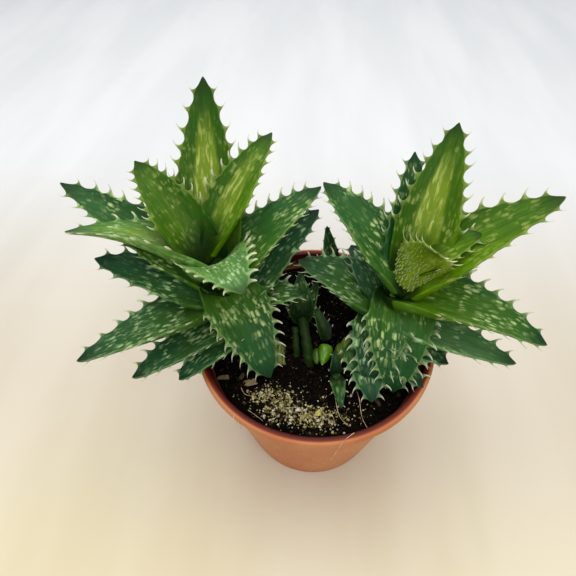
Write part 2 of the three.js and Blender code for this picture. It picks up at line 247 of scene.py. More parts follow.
def width_share(leaf, t):
    """How wide the leaf is at the share t of its length, as a share of its widest place."""
    neck = 1 - NECK_PINCH * max(0.0, 1 - max(t, 0) / leaf.neck) ** 2 if leaf.neck else 1
    neck *= heel(t)
    if t < WIDEST_AT:
        s = t / WIDEST_AT
        return neck * (BASE_SHARE + (1 - BASE_SHARE) * s * (2 - s))
    return neck * (max(0.0, 1 - t) / (1 - WIDEST_AT)) ** TAPER_POWER


def leaf_axes(leaf):
    """The directions along the leaf, across it and up from its hollow face."""
    heading, rise = math.radians(leaf.heading), math.radians(leaf.rise)
    along = Vector((math.cos(rise) * math.cos(heading), math.cos(rise) * math.sin(heading), math.sin(rise)))
    side = Vector((math.sin(heading), -math.cos(heading), 0))
    side.rotate(Quaternion(along, math.radians(leaf.roll)))
    return along, side, side.cross(along)


def tooth_places(leaf, draw):
    """Where the teeth of both edges sit along the leaf, each a little off its even place."""
    pitch = (LAST_TOOTH - leaf.first) / (leaf.teeth - 1)
    return [leaf.first + pitch * (k + draw.uniform(-0.14, 0.14)) for k in range(leaf.teeth)]


class Section:
    """The cross-section of a leaf at the share t of its length."""

    def __init__(self, leaf, foot, t):
        along, self.side, up = leaf_axes(leaf)
        self.centre = foot + along * leaf.length * t + up * leaf.arch * 4 * t * (1 - t)
        self.forward = (along * leaf.length + up * leaf.arch * 4 * (1 - 2 * t)).normalized()
        self.raised = self.side.cross(self.forward)
        self.half = leaf.half * width_share(leaf, t)
        self.cup = TIP_CUP + (leaf.cup - TIP_CUP) * (1 - t) ** 1.5
        thick = leaf.half * THICKNESS_SHARE
        self.depth = (TIP_THICKNESS + (thick - TIP_THICKNESS) * (1 - t) ** 0.8) * heel(t)

    def point(self, share, upper, flare=0.0):
        """The point at a share of the half width, from -1 to 1, on the upper or the lower face."""
        half = self.half + flare * abs(share) ** 6
        turn = self.cup * share
        bulge = max(0.0, 1 - share * share) ** 0.6
        inward = 0 if upper else -(EDGE_THICKNESS + (self.depth - EDGE_THICKNESS) * bulge)
        across = half * math.sin(turn) / self.cup - inward * math.sin(turn)
        height = half * (1 - math.cos(turn)) / self.cup + inward * math.cos(turn)
        return self.centre + self.side * across + self.raised * height

    def outward(self, sign):
        return self.side * sign * math.cos(self.cup) + self.raised * math.sin(self.cup)

    def sunny(self, share):
        """How squarely the upper face looks at the window, from -1 to 1."""
        turn = self.cup * share
        return (self.raised * math.cos(turn) - self.side * math.sin(turn)).dot(WINDOW)


print("a leaf ring has", len(RING), "points")

# %% [markdown]
# The edge of the real leaf is wavy: between two teeth it is drawn in, and each tooth stands on a broad green foot that
# narrows into a pale hooked point. So no tooth is stuck on. The small face of the edge is extruded again and again,
# turned towards the tip and narrowed each time, and at last drawn together to a point.

# %% Grow a tooth out of an edge face
TOOTH_STEPS = 6
HOOK_START, HOOK_TURN = 4, 72


def tooth_size(leaf, t):
    return min(1.0, 0.45 + 1.6 * width_share(leaf, t)) * (1 + leaf.spines * (0.5 - t))


def tooth_width(share):
    """A tooth narrows fast above its broad foot, then slowly to its point."""
    return 0.3 * (1 - share) + 0.7 * (1 - share) ** 4


def grow_tooth(bm, face, section, sign, size, lift, tone, layers):
    outward, forward, raised = section.outward(sign), section.forward, section.raised
    across, point = forward, face.calc_center_median()
    for step in range(1, TOOTH_STEPS + 1):
        face = bmesh.ops.extrude_discrete_faces(bm, faces=[face])["faces"][0]
        share, last_share = step / TOOTH_STEPS, (step - 1) / TOOTH_STEPS
        turn = math.radians(HOOK_START + HOOK_TURN * share)
        direction = (outward * math.cos(turn) + forward * math.sin(turn) + raised * lift * share).normalized()
        new_across = (forward * math.cos(turn) - outward * math.sin(turn)).normalized()
        new_point = point + direction * size / TOOTH_STEPS * MM
        narrower = tooth_width(share) / tooth_width(last_share)
        thinner = ((1 - share) / (1 - last_share)) ** 0.6
        for vert in face.verts:
            off = vert.co - point
            vert.co = new_point + new_across * off.dot(across) * narrower + raised * off.dot(raised) * thinner
            vert[layers["tone"]] = (tone[0], 1.0, share, tone[3])
        point, across = new_point, new_across
    bmesh.ops.pointmerge(bm, verts=list(face.verts), merge_co=point)


print("a tooth grows in", TOOTH_STEPS, "steps")

# %% [markdown]
# A leaf starts as a plain cylinder with two caps. Its long edges are cut into rings, two at the foot of each tooth and
# two more beside it, and each point is moved to its place on the form. Three layers go with the mesh: place for the
# patterns, mood for the painted window light and shade, bleaching and the painted shade of the throat, and tone
# for the shares of length, edge and tooth and age.

# %% Choose the rings of a leaf
HALF_BASE = 0.33
SHOULDER = 2.1
LEAST_STEP = 0.004
FINE_ENDS = [-0.098, -0.06, 0, 0.06, 0.14, 0.22], [0.955, 0.98, 0.996]
PLAIN_ENDS = [0, 0.15], [0.97]


def joined(parts):
    """Several bmeshes as one, with their layers kept."""
    whole = bmesh.new()
    for part in parts:
        mesh = bpy.data.meshes.new("part")
        part.to_mesh(mesh)
        part.free()
        whole.from_mesh(mesh)
        bpy.data.meshes.remove(mesh)
    return whole


def tell(vert, layers, place, mood, tone):
    vert[layers["place"]], vert[layers["mood"]], vert[layers["tone"]] = place, mood, tone


def with_layers():
    """A new bmesh and the three layers that the leaf skin reads."""
    bm = bmesh.new()
    vectors, colours = bm.verts.layers.float_vector, bm.verts.layers.float_color
    return bm, {"place": vectors.new("place"), "mood": vectors.new("mood"), "tone": colours.new("tone")}


def leaf_stations(leaf, teeth, tooth_length, fine):
    """Where along the leaf its rings lie, and which of them each tooth starts from."""
    start, end = FINE_ENDS if fine else PLAIN_ENDS
    stations, bases = list(start), []
    for k, t in enumerate(teeth):
        size = HALF_BASE * tooth_length / leaf.length * (0.6 + 0.4 * tooth_size(leaf, t))
        if fine:
            stations.append(t - SHOULDER * size)
        bases.append(len(stations))
        stations += [t - size, t + size]
        if fine:
            following = (teeth + [1.0])[k + 1]
            stations.append(min(t + SHOULDER * size, (t + following) / 2 - size * 0.3))
    stations += end
    for k in range(1, len(stations)):
        stations[k] = max(stations[k], stations[k - 1] + LEAST_STEP)
    return stations, bases


# %% Lay a tube on the form of a leaf
# How far the painted shade of the throat reaches up the upper face of a leaf, in millimetres, on old and young leaves.
THROAT_SHADE, YOUNG_THROAT_SHADE = 7, 14
DRAWN_IN = 0.45


def leaf_bmesh(leaf, foot, draw, tooth_length=TOOTH_LENGTH, fine=True):
    teeth = tooth_places(leaf, draw)
    stations, bases = leaf_stations(leaf, teeth, tooth_length, fine)
    bm, layers = with_layers()
    bmesh.ops.create_cone(bm, cap_ends=True, segments=len(RING), radius1=1, radius2=1, depth=1)
    lengthwise = [e for e in bm.edges if abs(e.verts[0].co.z - e.verts[1].co.z) > 0.5]
    bmesh.ops.subdivide_edges(bm, edges=lengthwise, cuts=len(stations) - 2)
    seed = draw.uniform(0, 500)
    sections = [Section(leaf, foot, t) for t in stations]
    throat_shade = (YOUNG_THROAT_SHADE if leaf.age < 0.35 and not leaf.pale else THROAT_SHADE) / leaf.length
    spot, tips = {}, []
    for vert in bm.verts:
        j = round((vert.co.z + 0.5) * (len(stations) - 1))
        k = round(math.atan2(vert.co.x, vert.co.y) / math.tau * len(RING)) % len(RING)
        spot[vert] = (j, k)
        share, upper = RING[k]
        t, section = stations[j], sections[j]
        flare = sum(math.exp(-((t - at) * leaf.length / 2) ** 2) for at in teeth) * TOOTH_FLARE * tooth_size(leaf, t)
        flare *= tooth_length / TOOTH_LENGTH
        bulge = max(0.0, 1 - share * share) ** 0.5
        sway = noise.noise(Vector((share * 0.8, t * 5 + seed, seed))) * 0.5 * (1 - 0.5 * bulge) * min(1, leaf.half / 10)
        vert.co = (section.point(share, upper, flare - DRAWN_IN) + section.raised * sway) * MM
        place = section.half * share, t * leaf.length + seed, (2 if upper else -2) * bulge + seed
        mood = section.sunny(share), leaf.pale, throat_shade if upper else 0
        tell(vert, layers, place, mood, (t, abs(share) ** 4, 0, leaf.age))
        if j == len(stations) - 1:
            tips.append(vert)
    by_corner = {}
    for face in bm.faces:
        keys = [spot[v] for v in face.verts]
        if len(keys) == 4:
            by_corner[(min(j for j, _ in keys), frozenset(k for _, k in keys))] = face
    last = len(RING) - 1
    for sign, strip in ((-1, frozenset((0, last))), (1, frozenset((len(SHARES) - 1, len(SHARES))))):
        for base, t in zip(bases, teeth):
            size = tooth_length * tooth_size(leaf, t) * draw.uniform(0.92, 1.12)
            grow_tooth(bm, by_corner[(base, strip)], Section(leaf, foot, t), sign, size, draw.uniform(-0.1, 0.35),
                       (t, 1, 0, leaf.age), layers)
    bmesh.ops.pointmerge(bm, verts=tips, merge_co=Section(leaf, foot, 1).centre * MM)
    bmesh.ops.recalc_face_normals(bm, faces=bm.faces[:])
    return bm


# %% [markdown]
# The skin of a leaf is a warm yellow green near the stem and on young leaves, and a cool bottle green with a darker
# tip on old ones. The half that looks at the window is painted yellower, as painted light, and the half turned away
# is painted darker, as painted shade. The layers of the mesh let all this follow each leaf.

# %% Mix the green of a leaf
class LeafSkin(Recipe):
    def __init__(self, name):
        super().__init__(name)
        self.place = self.layer("place")["Vector"]
        self.sunny, self.pale, self.throat_shade = self.axes(self.layer("mood")["Vector"])
        tone = self.layer("tone")
        self.along, self.edge, self.tooth = self.channels(tone["Color"])
        self.age = tone["Alpha"]

    def green(self, warm, cool, dark):
        blotch = self.noise(self.place, (0.16, 0.05, 0.1), 3.0)
        cooling = self.plus(self.times(self.age, 0.45), self.times(blotch, 0.5))
        cooling = self.plus(cooling, self.times(self.along, 0.4))
        # Painted light: the half of a leaf that faces the window is painted warmer and yellower.
        cooling = self.maths("SUBTRACT", cooling, self.times(self.sunny, 0.45))
        green = self.mix(self.ramp(cooling, 0.0, 0.85), warm, cool)
        green = self.mix(self.times(self.pale, 0.6), green, "78ac62")
        # Painted shade: the half turned away from the window is painted darker.
        return self.mix(self.ramp(self.sunny, 0.5, -0.1, 0.0, 0.5), green, self.mix(0.5, green, dark))

    def middle(self, strength):
        """The yellow stripe down the middle of a young leaf."""
        across = self.times(self.ramp(self.edge, 0.1, 0.0), self.ramp(self.age, 0.35, 0.1))
        lengthwise = self.times(self.ramp(self.along, 0.15, 0.42), self.ramp(self.along, 0.86, 0.55))
        return self.times(self.times(across, lengthwise), strength)


# %% [markdown]
# Pale lens shaped spots lie in loose cross bands, and finer dashes run between them. They could be painted one by
# one. Here each spot is the middle of a stretched cell, swayed a little by noise, and only some cells get one.

# %% Mark the leaf with spots and dashes
def leaf_marks(skin, spot_strength):
    wobble = skin.add("ShaderNodeTexNoise", Vector=skin.place, Scale=0.55, Detail=2.0).outputs["Color"]
    drifted = skin.add("ShaderNodeVectorMath", {"operation": "MULTIPLY_ADD"}, i0=wobble, i1=(1.1, 2.0, 0.6),
                       i2=skin.place).outputs[0]
    lens = skin.cells(skin.scaled(drifted, (0.55, 0.27, 0.3)))
    chosen = skin.ramp(skin.channels(lens["Color"])[0], 0.15, 0.6)
    band = skin.ramp(skin.noise(skin.place, (0.07, 0.13, 0.1), 2.0, shift=(3, 7, 1)), 0.4, 0.6)
    spots = skin.times(skin.ramp(lens["Distance"], 0.56, 0.18), chosen)
    spots = skin.times(spots, skin.ramp(band, 0.0, 1.0, 0.12, 1.0))
    dash = skin.cells(skin.scaled(drifted, (0.95, 0.26, 0.3), (5, 9, 0)))
    dashes = skin.times(skin.ramp(dash["Distance"], 0.46, 0.1, 0.0, 0.65), band)
    ends = skin.times(skin.ramp(skin.along, 0.97, 0.8), skin.ramp(skin.along, 0.05, 0.3))
    strength = skin.plus(skin.times(skin.pale, 0.1), spot_strength)
    return skin.times(skin.times(skin.maths("MAXIMUM", spots, dashes), ends), strength)


# %% [markdown]
# The whole skin is laid in coats: green, veins, stripe, marks, dark tip, painted shade in the throat where the leaf
# clasps the stem, pale rim and horn coloured teeth. Marks and veins stand out a little too, so the light catches them.

# %% Mix the skins of the leaves
def leaf_skin(name, warm, cool, dark, spot_colour, spot_strength, streak_strength):
    skin = LeafSkin(name)
    green = skin.green(warm, cool, dark)
    veins = skin.noise(skin.place, (1.1, 0.05, 0.4), 4.0, 0.65)
    green = skin.mix(skin.ramp(veins, 0.35, 0.7, 0.0, 0.7), green, skin.mix(0.6, green, dark))
    middle = skin.middle(streak_strength)
    green = skin.mix(skin.times(middle, 0.6), green, "8fa62c")
    streak = skin.noise(skin.place, (0.8, 0.13, 0.3), 3.0, shift=(11, 3, 2))
    streak = skin.times(skin.ramp(streak, 0.47, 0.68, 0.0, 0.9), middle)
    marks = skin.maths("MAXIMUM", leaf_marks(skin, spot_strength), streak)
    colour = skin.mix(marks, green, skin.mix(skin.pale, spot_colour, "b4d6a2"))
    colour = skin.mix(skin.ramp(skin.along, 0.78, 1.0, 0.0, 0.7), colour, dark)
    # Painted shade: the foot of the upper face, deep in the throat where the leaf clasps the stem, is painted near
    # black.
    reach = skin.maths("DIVIDE", skin.along, skin.maths("MAXIMUM", skin.throat_shade, 0.01))
    colour = skin.mix(skin.ramp(reach, 1.25, 0.25, 0.0, 0.88), colour, skin.mix(0.6, dark, "0a1604"))
    rim = skin.times(skin.ramp(skin.edge, 0.85, 1.0, 0.0, 0.2), skin.ramp(skin.along, 0.3, 0.5))
    colour = skin.mix(rim, colour, spot_colour)
    horn = skin.mix(skin.ramp(skin.tooth, 0.88, 1.0, 0.0, 0.4), "e6ebc6", "9a6a34")
    colour = skin.mix(skin.ramp(skin.tooth, 0.1, 0.75), colour, horn)

    grain = skin.noise(skin.place, (2.4, 1.2, 2.4), 2.0)
    relief = skin.plus(skin.plus(skin.times(marks, 0.8), skin.times(veins, 0.9)), skin.times(grain, 0.25))
    skin.bumps(relief, 0.6, 0.0004)
    skin.set(Base_Color=colour, Roughness=skin.ramp(grain, 0.2, 0.8, 0.34, 0.5), Specular_IOR_Level=0.12)
    skin.set(Subsurface_Weight=0.15, Subsurface_Scale=0.0018, Subsurface_Radius=(0.5, 1.0, 0.2))
    return skin.coat


SKINS = {
    "young_leaf": leaf_skin("young_leaf_skin", "658d04", "2c6003", "102c03", "c4d070", 0.38, 0.95),
    "leaf": leaf_skin("grown_leaf_skin", "527c0e", "295e2c", "0a270e", "bcd28a", 0.85, 0.6),
    "old_leaf": leaf_skin("old_leaf_skin", "426a0e", "265436", "072110", "b0ce94", 0.85, 0.4),
    "bud": leaf_skin("bud_skin", "8aa41c", "547c12", "26460c", "dfe6a0", 0.2, 0.0),
    # Painted shade: the shoots stand in the shade between the stems, so their skin is a darker copy of the leaf skin.
    "shoot": leaf_skin("shoot_skin_painted_shade", "3d5c12", "1d4a22", "0a2410", "7f9f5c", 0.7, 0.2),
}
print("leaf skins:", sorted(SKINS))

# %% [markdown]
# ## Stems
# Each stem leaves the soil near the middle of the pot and leans out over the rim under its load of leaves. The leaf
# feet clasp it in a close spiral, and each old foot leaves a sheath like a shallow cup. The middle line of a stem is a
# Bezier curve, because four points bend it smoothly.

# %% Follow the curve of a stem
STEM_RADIUS = 4.2
STEM_TOP = 0.88
STEMS = {
    "left": [Vector(p) for p in ((-8, -10, 48), (-10, -10, 76), (-40, 4, 90), (-47, 13, 112))],
    "right": [Vector(p) for p in ((5, -9, 48), (7, -9, 76), (32, 2, 90), (40, 11, 112))],
}


def on_curve(points, t):
    """A point of the Bezier curve that three or four points pull along."""
    while len(points) > 1:
        points = [a.lerp(b, t) for a, b in zip(points, points[1:])]
    return points[0]


def below_top(points, below, steps=200):
    """The point of the stem that lies so many millimetres below its top end, measured along it."""
    lengths = [0.0]
    for k in range(steps):
        lengths.append(lengths[-1] + (on_curve(points, (k + 1) / steps) - on_curve(points, k / steps)).length)
    target = lengths[-1] - below
    k = min(max(i for i, length in enumerate(lengths) if length <= target), steps - 1)
    part = (target - lengths[k]) / (lengths[k + 1] - lengths[k])
    return on_curve(points, (k + part) / steps)


print("stem tops, mm:", {side: [round(v) for v in below_top(points, 0)] for side, points in STEMS.items()})


# %% [markdown]
# A curve object with a round bevel gives a tube too, but an even one. Here a circle of edges is extruded along the
# path, ring after ring, and each point asks a function for its distance from the middle.

# %% Extrude a tube along a path
def tube_bmesh(path, radius, steps, sides, bm=None):
    """path(t) gives a point and radius(t, angle) a width, both in millimetres, for t from 0 to 1."""
    bm = bm or bmesh.new()
    ring = bmesh.ops.create_circle(bm, cap_ends=True, segments=sides, radius=1)["verts"]
    angles = {v: math.atan2(v.co.y, v.co.x) for v in ring}
    edges = sorted({e for v in ring for e in v.link_edges}, key=lambda e: e.index)
    for step in range(steps + 1):
        t = step / steps
        ahead = (path(min(1, t + 0.01)) - path(max(0, t - 0.01))).normalized()
        across = (Vector((0, 1, 0)) if abs(ahead.y) < 0.9 else Vector((1, 0, 0))).cross(ahead).normalized()
        forth = ahead.cross(across)
        if step:
            made = bmesh.ops.extrude_edge_only(bm, edges=edges)["geom"]
            ring = [g for g in made if isinstance(g, bmesh.types.BMVert)]
            fresh = set(ring)
            edges = [g for g in made if isinstance(g, bmesh.types.BMEdge) and fresh.issuperset(g.verts)]
            below = {v: next(e.other_vert(v) for e in v.link_edges if e.other_vert(v) not in fresh) for v in ring}
            angles = {v: angles[below[v]] for v in ring}
        for v in ring:
            width = radius(t, angles[v])
            v.co = (path(t) + across * math.cos(angles[v]) * width + forth * math.sin(angles[v]) * width) * MM
    bmesh.ops.edgenet_fill(bm, edges=edges)
    bmesh.ops.recalc_face_normals(bm, faces=bm.faces[:])
    return bm


# %% [markdown]
# The stem swells towards the lip of every sheath. Noise stretched round it makes green rings, and noise stretched
# along it makes dry straw coloured fibres.

# %% Finish and extrude the two stems
bark = Recipe("stem_sheath")
where = bark.where()
rings = bark.noise(where, (60, 60, 420), 3.0)
fibre = bark.noise(where, (900, 900, 120), 3.0)
green = bark.mix(bark.ramp(rings, 0.35, 0.65), "45661a", "6f8630")
green = bark.mix(bark.ramp(bark.axes(where)[2], 0.09, 0.102), green, "7f9a34")
bark.set(Base_Color=bark.mix(bark.ramp(fibre, 0.5, 0.8, 0.0, 0.6), green, "7d6a3a"), Roughness=0.5)
bark.bumps(fibre, 0.5, 0.0003)

SHEATHS = 15
SHEATH_LIP = 0.75


def sheathed(t, angle):
    lean = angle / math.tau + 0.5
    rise = (t * SHEATHS + lean) % 1
    wander = noise.noise(Vector((math.cos(angle), math.sin(angle), t * 14))) * 0.3
    return STEM_RADIUS - 0.5 + SHEATH_LIP * rise ** 1.5 + wander


for side, points in STEMS.items():
    bm = tube_bmesh(lambda t: on_curve(points, t * STEM_TOP), sheathed, steps=90, sides=20)
    finished(f"{side}_stem_sheaths", bm, bark.coat, [f"{side}_stem"], rounds=1)

# %% [markdown]
# ## The two rosettes
# The leaves are listed from the innermost outwards. below is how far under the stem's top a leaf sits, heading is the
# compass direction from +X towards +Y, rise is its slope, and the rest are its length, half width, arch, roll, cup,
# number of teeth and age. first is where its teeth begin, neck is how far its narrow foot reaches where another leaf
# clasps it, pale is for the leaves that the light has bleached, and spines makes the teeth near the foot longer.

# %% The list of leaves
LEFT_LEAVES = [
    Leaf(0, 57, 36, 58, 10.5, 6, 14, 1.3, 7, 0.2, first=0.42, neck=0.5),
    Leaf(3, 141, 37, 51, 11.5, 6, -16, 1.15, 7, 0.3, first=0.42),
    Leaf(5, 96, 45, 78, 15, 0, 0, 0.5, 7, 0.1, first=0.35),
    Leaf(7, -56, 27, 38, 14, 6, 0, 1, 7, 0.45, pale=0.8),
    Leaf(7, 180, 17, 61, 13.5, 7, 20, 1, 7, 0.1, pale=0.5),
    Leaf(13, 159, 20, 82, 12, 3, -14, 1, 8, 0.7),
    Leaf(13, 36, 29, 59, 13, 4, 4, 1, 8, 0.6),
    Leaf(14, -54, -28, 46, 14, 5, 0, 1, 8, 0.5),
    Leaf(21, -149, -4, 67, 14, 2, 10, 1, 7, 0.6, neck=0.35),
    Leaf(21, 177, 16, 59, 13, 2, -16, 1, 6, 0.7),
    Leaf(24, 45, 26, 55, 11.5, 3, 8, 1, 7, 0.8),
    Leaf(22, 95, 12, 50, 12, 4, 0, 1, 5, 0.8, neck=0.4),
    Leaf(30, -140, -4, 53, 12.5, 1, 10, 1, 7, 0.8, neck=0.3),
    Leaf(34, -127, -2, 40, 11.5, 1, 10, 1, 6, 0.9, neck=0.4),
    Leaf(27, 15, 4, 30, 10, 4, 0, 1, 5, 0.3, neck=0.8),
]
RIGHT_LEAVES = [
    Leaf(8.5, -66, 67, 31, 11.5, 5, -55, 1, 6, 0.1, spines=1.4),
    Leaf(0, 6, 38, 27, 9, 3, 10, 1.1, 5, 0.3),
    Leaf(4, 71, 50, 61, 13, 3, 0, 1, 7, 0.0, first=0.33),
    Leaf(8, 13, 35, 64, 13.5, 5, 8, 1, 7, 0.35),
    Leaf(8, 138, 27, 55, 12.5, 4, -6, 1, 8, 0.65),
    Leaf(12, 87, 45, 57, 10, 3, 0, 1, 7, 0.85),
    Leaf(13, -22, -2, 58, 13.5, 6, 0, 1, 7, 0.4),
    Leaf(15, -91, -35, 40, 13.5, 6, 0, 1, 8, 0.6),
    Leaf(22, 148, 3, 46, 13.5, 4, 0, 1, 7, 0.6),
    Leaf(22, 115, 9, 36, 10, 4, 0, 1, 5, 0.9, neck=0.4),
    Leaf(27, -21, 0, 56, 12.5, 2, -8, 1, 7, 0.9, neck=0.5, pale=0.7),
    Leaf(28, 50, 14, 46, 11, 4, 0, 1, 5, 0.9, neck=0.4),
    Leaf(25, -99, -29, 31, 11.5, 6, 0, 1, 6, 0.5),
    Leaf(34, -30, 4, 36, 10, 3, 0, 1, 6, 0.9, neck=0.4),
    Leaf(40, -80, -8, 30, 9, 3, 0, 1, 6, 0.6, neck=0.4),
    Leaf(38, -44, -4, 34, 8.5, 3, 0, 1, 5, 0.9, neck=0.4),
]


def finish_of(k):
    return "young_leaf" if k < 4 else "leaf" if k < 8 else "old_leaf"


print(len(LEFT_LEAVES), "leaves on the left,", len(RIGHT_LEAVES), "on the right")

# %% [markdown]
# One young leaf in front of the right rosette turns its rounded back to the viewer. Rows of pale horny warts cover it,
# closest together near its foot. Bumps in the finish would not stand out at its edge, so each wart is a small
# stretched ball, laid on the back by the leaf's formula.

# %% Set rows of warts on the back of the bud
BUD = "right_leaf_01"
BUD_SPINES = 1.35
WART_ROWS = 22
WART_FORM = Vector((1.9, 0.75, 0.55))


def warts(leaf, foot, draw):
    bm, layers = with_layers()
    for row in range(WART_ROWS):
        t = 0.02 + 0.037 * row
        section = Section(leaf, foot, t)
        count = round(section.half * 1.5)
        for k in range(count):
            share = ((k + 0.5 + 0.5 * (row % 2)) / count * 2 - 1) * 0.9 + draw.uniform(-0.03, 0.03)
            if draw.random() < 0.8 * t or abs(share) > 0.93:
                continue
            at = section.point(share, False) * MM
            out = (section.point(share, False) - section.point(share, True)).normalized()
            size = draw.uniform(0.55, 0.8) * (1 - 0.45 * t) * MM
            for vert in bmesh.ops.create_icosphere(bm, subdivisions=1, radius=1)["verts"]:
                top, (x, y, z) = max(0, vert.co.z), vert.co * WART_FORM
                vert.co = at + (section.forward * x + out.cross(section.forward) * y + out * z) * size
                tell(vert, layers, vert.co / MM, (0.5, 0, 0), (0.5, 0.5, 0.2 + 0.14 * top, leaf.age))
    return bm


# %% [markdown]
# Each leaf is a piece of its own, rounded off by subdivision and kept inside the box of the measured frame.

# %% Make every leaf of both rosettes
for side, leaves in (("left", LEFT_LEAVES), ("right", RIGHT_LEAVES)):
    for k, leaf in enumerate(leaves):
        node = f"{side}_leaf_{k + 1:02d}"
        draw, foot = random.Random(node), below_top(STEMS[side], leaf.below)
        bm = leaf_bmesh(leaf, foot, draw, TOOTH_LENGTH * (BUD_SPINES if node == BUD else 1))
        if node == BUD:
            bm = joined([bm, warts(leaf, foot, draw)])
        for vert in bm.verts:
            vert.co = [min(max(c, low), high) for c, low, high in zip(vert.co, *cad_box)]
        skin = "bud" if node == BUD else "leaf" if leaf.pale and k < 8 else finish_of(k)
        finished(f"{node}_blade", bm, SKINS[skin], [node], rounds=1)

# %% [markdown]
# ## Young shoots
# Three shoots stand between the big stems. Each is a soft green stalk with a few narrow leaves in one piece, made with
# the same leaf builder but fewer rings. The stalk of the middle shoot bends forward to its root.

# %% List the shoots
Shoot = namedtuple("Shoot", "root foot top radius leaves")
SHOOTS = {
    "middle_offset": Shoot((-1.5, -13), (-6, 6), 80, 2.6, [
        (0, Leaf(0, 98, 60, 23, 5.5, 1, 0, 1, 5, 0.0)),
        (-1, Leaf(0, 136, 45, 20, 5, 1, 0, 1, 4, 0.0)),
        (-1, Leaf(0, 60, 50, 20, 4.5, 1, 0, 1, 4, 0.1)),
    ]),
    "back_offset": Shoot((7, 38), (7, 38), 80, 2.4, [
        (0, Leaf(0, 111, 66, 24, 4.5, 1, 0, 1, 4, 0.5)),
        (-1, Leaf(0, 180, 40, 17, 4, 1, 0, 1, 3, 0.5)),
        (-1, Leaf(0, 10, 35, 17, 4, 1, 0, 1, 3, 0.6)),
        (-2, Leaf(0, -70, 25, 14, 3.5, 1, 0, 1, 3, 0.6)),
    ]),
    "front_offset": Shoot((10, -19), (10, -19), 75, 2.2, [
        (0, Leaf(0, -82, 4, 16, 3.2, 1.5, 0, 1, 3, 0.8)),
        (0, Leaf(0, 100, 50, 11, 2.6, 1, 0, 1, 2, 0.7)),
    ]),
}
SECOND_STALK = [Vector(p) for p in ((-7, -11, 60), (-7.5, -11, 77), (-9, 1, 80))]
LOW_LEAF = Leaf(0, 118, 35, 17, 3.2, 1, 0, 1, 4, 0.0)
print("leaves of the shoots:", {node: len(shoot.leaves) for node, shoot in SHOOTS.items()})

# %% Make the shoots
SHOOT_TOOTH = 1.9
SOIL_LEVEL = 72
STALK_DEPTH = 12


def stalk_bmesh(points, radius):
    bm, layers = with_layers()
    tube_bmesh(lambda t: on_curve(points, t),
               lambda t, angle: radius * (0.85 + 0.2 * ((t * 5 + angle / math.tau) % 1)), steps=40, sides=12, bm=bm)
    for vert in bm.verts:
        # Painted light and shade: the mood gives each stalk a fixed window facing of 0.9 and a throat shade reach of
        # 0.55, so the skin paints the stalk much darker, as painted shade.
        tell(vert, layers, vert.co / MM, (0.9, 0, 0.55), (0.25, 0, 0, 0))
    return bm


for node, shoot in SHOOTS.items():
    draw = random.Random(node)
    (x, y), (root_x, root_y) = shoot.foot, shoot.root
    bend = [Vector((root_x, root_y, SOIL_LEVEL - STALK_DEPTH)), Vector((root_x, root_y, shoot.top - 1)),
            Vector((x, y, shoot.top))]
    parts = [stalk_bmesh(bend, shoot.radius)]
    for up, leaf in shoot.leaves:
        parts.append(leaf_bmesh(leaf, Vector((x, y, shoot.top + up - 1)), draw, SHOOT_TOOTH, fine=False))
    if node == "middle_offset":
        parts.append(stalk_bmesh(SECOND_STALK, 1.7))
        parts.append(leaf_bmesh(LOW_LEAF, Vector((6, -2, 75)), draw, SHOOT_TOOTH, fine=False))
    finished(f"{node}_leaves", joined(parts), SKINS["shoot"], [node], rounds=1)

# %% [markdown]
# ## The bud and the stub at soil level
# Between the stems a new shoot breaks through, a smooth bright bud wrapped in two scales. Balls would do, but a short
# fat tube whose width follows a half wave has the right pointed tip, and the same tool makes it.

# %% Shape the bud
sprout = Recipe("sprout_green_tip_highlight")
where = sprout.where()
across, tip_highlight_y, _ = sprout.axes(where)
flow = sprout.noise(where, (900, 160, 900), 3.0)
green = sprout.mix(sprout.ramp(flow, 0.3, 0.75), "477c0a", "6fa01a")
green = sprout.mix(sprout.ramp(across, 0.0038, 0.0024, 0.0, 0.85), green, "36500e")
# Painted highlight: the front tip of the bud is painted pale cream green.
green = sprout.mix(sprout.ramp(tip_highlight_y, -0.0138, -0.0148), green, "cfdd8a")
sprout.set(Base_Color=green, Roughness=0.28, Subsurface_Weight=0.2, Subsurface_Scale=0.002)
sprout.bumps(flow, 0.3, 0.0002)


def swollen(width, start, end, power=0.7):
    """A width that swells and closes along a tube, between two phases of a half wave."""
    return lambda t, angle: width * max(0.02, math.sin(math.pi * (start + (end - start) * t))) ** power


def straight(*ends):
    first, last = (Vector(p) for p in ends)
    return lambda t: first.lerp(last, t)


bm = joined([
    tube_bmesh(straight((5.4, -5.6, 76), (3.9, -14.4, 74.2)), swollen(3.5, 0.3, 0.99, 0.9), steps=22, sides=20),
    tube_bmesh(straight((1.8, -6.4, 74.4), (1.4, -13.4, 73)), swollen(2.3, 0.2, 0.98), steps=18, sides=18),
])
finished("pup_bud", bm, sprout.coat, ["pup"], rounds=1)

# %% [markdown]
# Left of the bud sits the foot of a leaf that was pulled off. It is one more short tube, with a wavy dry lip.

# %% Shape the stub of the fallen leaf
stub = Recipe("dry_leaf_foot")
where = stub.where()
flow = stub.noise(where, (1100, 130, 500), 4.0, 0.6)
green = stub.mix(stub.ramp(flow, 0.3, 0.7), "33460f", "8c9a45")
dry = stub.mix(stub.ramp(flow, 0.3, 0.8), "5c4a2a", "978455")
stub.set(Base_Color=stub.mix(stub.ramp(stub.axes(where)[1], -0.0142, -0.0154), green, dry), Roughness=0.6)
stub.bumps(flow, 0.6, 0.0004)


def torn(t, angle):
    lip = 0.7 * math.exp(-(t / 0.1) ** 2) * (1 + 0.5 * math.sin(5 * angle))
    return 3.6 * (1 - 0.35 * t) * (1 - 0.75 * max(0, t - 0.75) * 4 * t) + lip - 0.5


bm = tube_bmesh(straight((-15.2, -14.6, 72.4), (-15.5, -5, 77)), torn, steps=26, sides=24)
finished("torn_leaf_foot", bm, stub.coat, ["old_leaf_base"], rounds=1)

